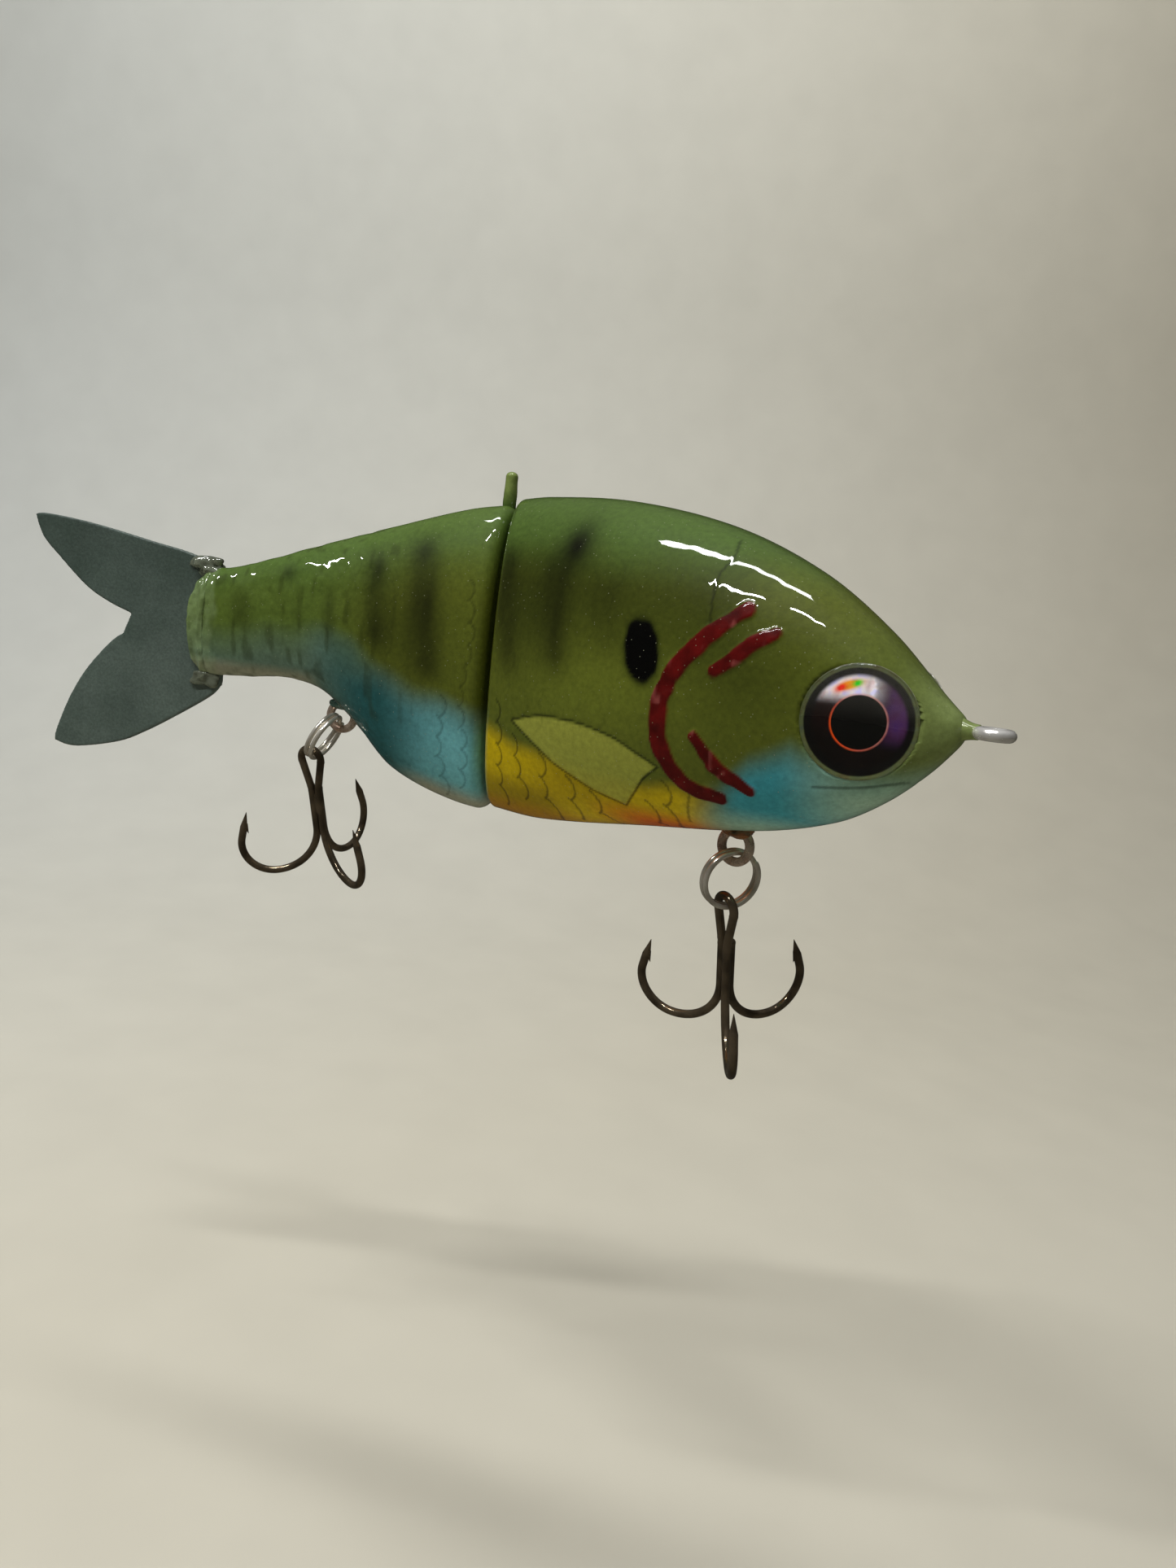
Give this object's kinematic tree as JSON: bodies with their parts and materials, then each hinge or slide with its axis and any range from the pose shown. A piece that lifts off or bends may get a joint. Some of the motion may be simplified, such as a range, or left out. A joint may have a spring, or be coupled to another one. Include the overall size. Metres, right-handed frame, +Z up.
{
  "type": "jointed swimbait",
  "caption": "Two-piece jointed swimbait fishing lure with a forked tail sheet, nose line tie, domed eyes and treble hooks hanging from split rings.",
  "frame": {"origin": "centre of the line tie loop at the nose", "axes": "+X along the front section out of the nose, +Y to the fish's left, +Z up through the back"},
  "size_m": [0.1633, 0.0559, 0.0806],
  "materials": {
    "paint_front": "airbrushed olive with pearl, gold belly and blue-grey chin under a thick gloss clear coat",
    "paint_rear": "airbrushed olive fading to blue-grey under a thick gloss clear coat",
    "stainless": "bright drawn wire",
    "nickel": "bright nickel",
    "black_nickel": "black nickel with a bronze cast",
    "clear_epoxy": "glossy lumpy epoxy",
    "amber_epoxy": "glossy epoxy with a rust tint",
    "eye_foil": "dark maroon holographic foil with a black pupil",
    "eye_lens": "clear domed lens",
    "tail_rubber": "semi-matte flexible sheet",
    "lead": "dull cast metal"
  },
  "bodies": {
    "front_section": {"front_body": "paint_front", "upper_joint_eye": "stainless", "lower_joint_eye": "stainless", "line_tie": "stainless", "line_tie_epoxy": "clear_epoxy", "left_eye_foil": "eye_foil", "right_eye_foil": "eye_foil", "left_eye_lens": "eye_lens", "right_eye_lens": "eye_lens", "front_hanger": "stainless", "front_hanger_epoxy": "amber_epoxy", "nose_ballast": "lead", "belly_ballast": "lead", "nose_plug": "paint_front", "belly_plug": "paint_front"},
    "rear_section": {"rear_body": "paint_rear", "hinge_pin": "paint_rear", "rear_hanger": "stainless", "rear_hanger_epoxy": "paint_rear", "tail_root": "tail_rubber", "tail_collar": "clear_epoxy", "tail_epoxy_beads": "clear_epoxy", "rear_ballast": "lead", "rear_plug": "paint_rear"},
    "tail": {"tail_blade": "tail_rubber"},
    "front_ring": {"front_split_ring": "nickel"},
    "front_hook": {"front_treble_hook": "black_nickel"},
    "rear_ring": {"rear_split_ring": "nickel"},
    "rear_hook": {"rear_treble_hook": "black_nickel"}
  },
  "joints": [
    {"name": "body_bend", "type": "hinge", "parent": "front_section", "child": "rear_section", "pos_m": [-0.0802, 0, 0], "axis": [0, 0, 1], "range_deg": [-55, 6]},
    {"name": "tail_flex", "type": "hinge", "parent": "rear_section", "child": "tail", "pos_m": [-0.13211, -0.02366, 0], "axis": [0, 0, 1], "range_deg": [-22, 22], "stiffness_Nm_per_rad": 0.01},
    {"name": "front_ring_swing", "type": "hinge", "parent": "front_section", "child": "front_ring", "pos_m": [-0.03179, 0, -0.02011], "axis": [0, 1, 0], "range_deg": [-40, 40]},
    {"name": "front_hook_swing", "type": "hinge", "parent": "front_ring", "child": "front_hook", "pos_m": [-0.0322, 0.00046, -0.02488], "axis": [0.8663, -0.4782, -0.1444], "range_deg": [-45, 45]},
    {"name": "rear_ring_swing", "type": "hinge", "parent": "rear_section", "child": "rear_ring", "pos_m": [-0.10386, -0.01078, -0.01284], "axis": [-0.4147, 0.91, 0], "range_deg": [-40, 40]},
    {"name": "rear_hook_swing", "type": "hinge", "parent": "rear_ring", "child": "rear_hook", "pos_m": [-0.10533, -0.01307, -0.01647], "axis": [0.796, 0.4056, -0.4493], "range_deg": [-45, 45]}
  ]
}
